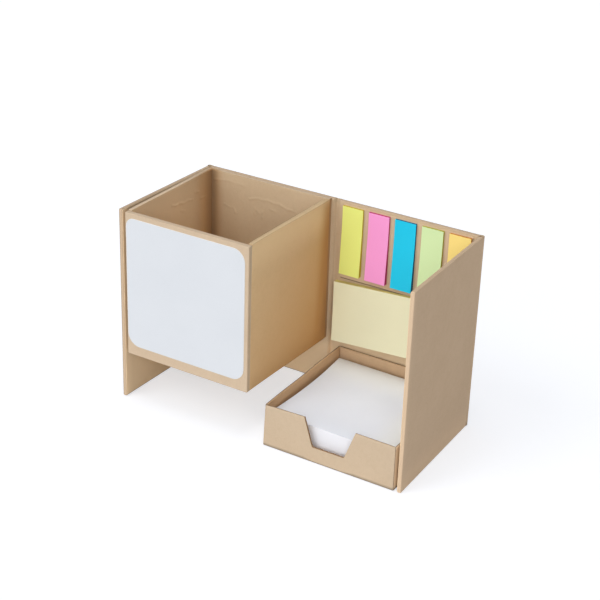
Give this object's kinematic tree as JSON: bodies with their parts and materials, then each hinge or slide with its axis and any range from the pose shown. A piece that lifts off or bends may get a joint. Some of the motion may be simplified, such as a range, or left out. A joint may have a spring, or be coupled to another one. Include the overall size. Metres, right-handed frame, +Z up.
{
  "type": "memo pad holder with pen cup",
  "caption": "Folding desk cube of wrapped board: an open square pen cup on one half, a low memo tray with a finger notch, page markers and a sticky pad on the other.",
  "frame": {"origin": "centre of the bounding box at the height of the desk, with the cover opened out as at rest", "axes": "+X along the back boards from the pen cup to the memo tray, +Y out of the back, +Z up; the open sides face -Y"},
  "size_m": [0.187, 0.0868, 0.12],
  "materials": {
    "cover_wrap": "kraft paper wrap over board",
    "cover_lining": "smooth kraft lining paper",
    "cup_board": "kraft paper wrap over board",
    "label_paper": "matt pale grey coated paper",
    "tray_card": "folded kraft card",
    "memo_paper": "matt white paper block",
    "marker_backing": "kraft card",
    "pad_paper": "matt pale cream paper pad",
    "yellow_film": "satin film",
    "pink_film": "satin film",
    "blue_film": "satin film",
    "green_film": "satin film",
    "orange_film": "satin film"
  },
  "bodies": {
    "memo_half": {"back_board_right": "cover_wrap", "lining_back_right": "cover_lining", "memo_tray": "tray_card", "marker_card": "marker_backing", "sticky_pad": "pad_paper", "marker_yellow": "yellow_film", "marker_pink": "pink_film", "marker_blue": "blue_film", "marker_green": "green_film", "marker_orange": "orange_film"},
    "fold_spine": {"centre_fold_strip": "cover_wrap"},
    "pen_half": {"back_board_left": "cover_wrap", "lining_back_left": "cover_lining", "cup_front_label": "label_paper", "cup_front_wall": "cup_board", "cup_back_wall": "cup_board", "cup_left_wall": "cup_board", "cup_right_wall": "cup_board", "cup_floor": "cup_board"},
    "left_corner": {"left_fold_strip": "cover_wrap"},
    "left_panel": {"side_board_left": "cover_wrap", "lining_side_left": "cover_lining"},
    "right_corner": {"right_fold_strip": "cover_wrap"},
    "right_panel": {"side_board_right": "cover_wrap", "lining_side_right": "cover_lining"},
    "memo_block": {"memo_block": "memo_paper"}
  },
  "joints": [
    {"name": "pen_half_fold", "type": "hinge", "parent": "memo_half", "child": "pen_half", "pos_m": [-0.00069, 0.0427, 0.06], "axis": [0, 0, 1], "range_deg": [0, 90]},
    {"name": "fold_spine_turn", "type": "hinge", "parent": "memo_half", "child": "fold_spine", "pos_m": [0.00101, 0.0434, 0.06], "axis": [0, 0, 1], "range_deg": [0, 45]},
    {"name": "right_panel_fold", "type": "hinge", "parent": "memo_half", "child": "right_panel", "pos_m": [0.09095, 0.04271, 0.06], "axis": [0, 0, 1], "range_deg": [-1.25, 88.75]},
    {"name": "right_corner_turn", "type": "hinge", "parent": "memo_half", "child": "right_corner", "pos_m": [0.08925, 0.0434, 0.06], "axis": [0, 0, 1], "range_deg": [-0.62, 44.38]},
    {"name": "left_panel_fold", "type": "hinge", "parent": "pen_half", "child": "left_panel", "pos_m": [-0.09073, 0.04271, 0.06], "axis": [0, 0, -1], "range_deg": [-1.4, 88.6]},
    {"name": "left_corner_turn", "type": "hinge", "parent": "pen_half", "child": "left_corner", "pos_m": [-0.08903, 0.0434, 0.06], "axis": [0, 0, -1], "range_deg": [-0.7, 44.3]},
    {"name": "memo_block_lift", "type": "slide", "parent": "memo_half", "child": "memo_block", "axis": [0, 0, 1], "range_m": [0, 0.008]}
  ],
  "couplings": [
    {"joint": "fold_spine_turn", "follows": "pen_half_fold", "ratio": 0.5},
    {"joint": "right_corner_turn", "follows": "right_panel_fold", "ratio": 0.5},
    {"joint": "left_corner_turn", "follows": "left_panel_fold", "ratio": 0.5}
  ]
}
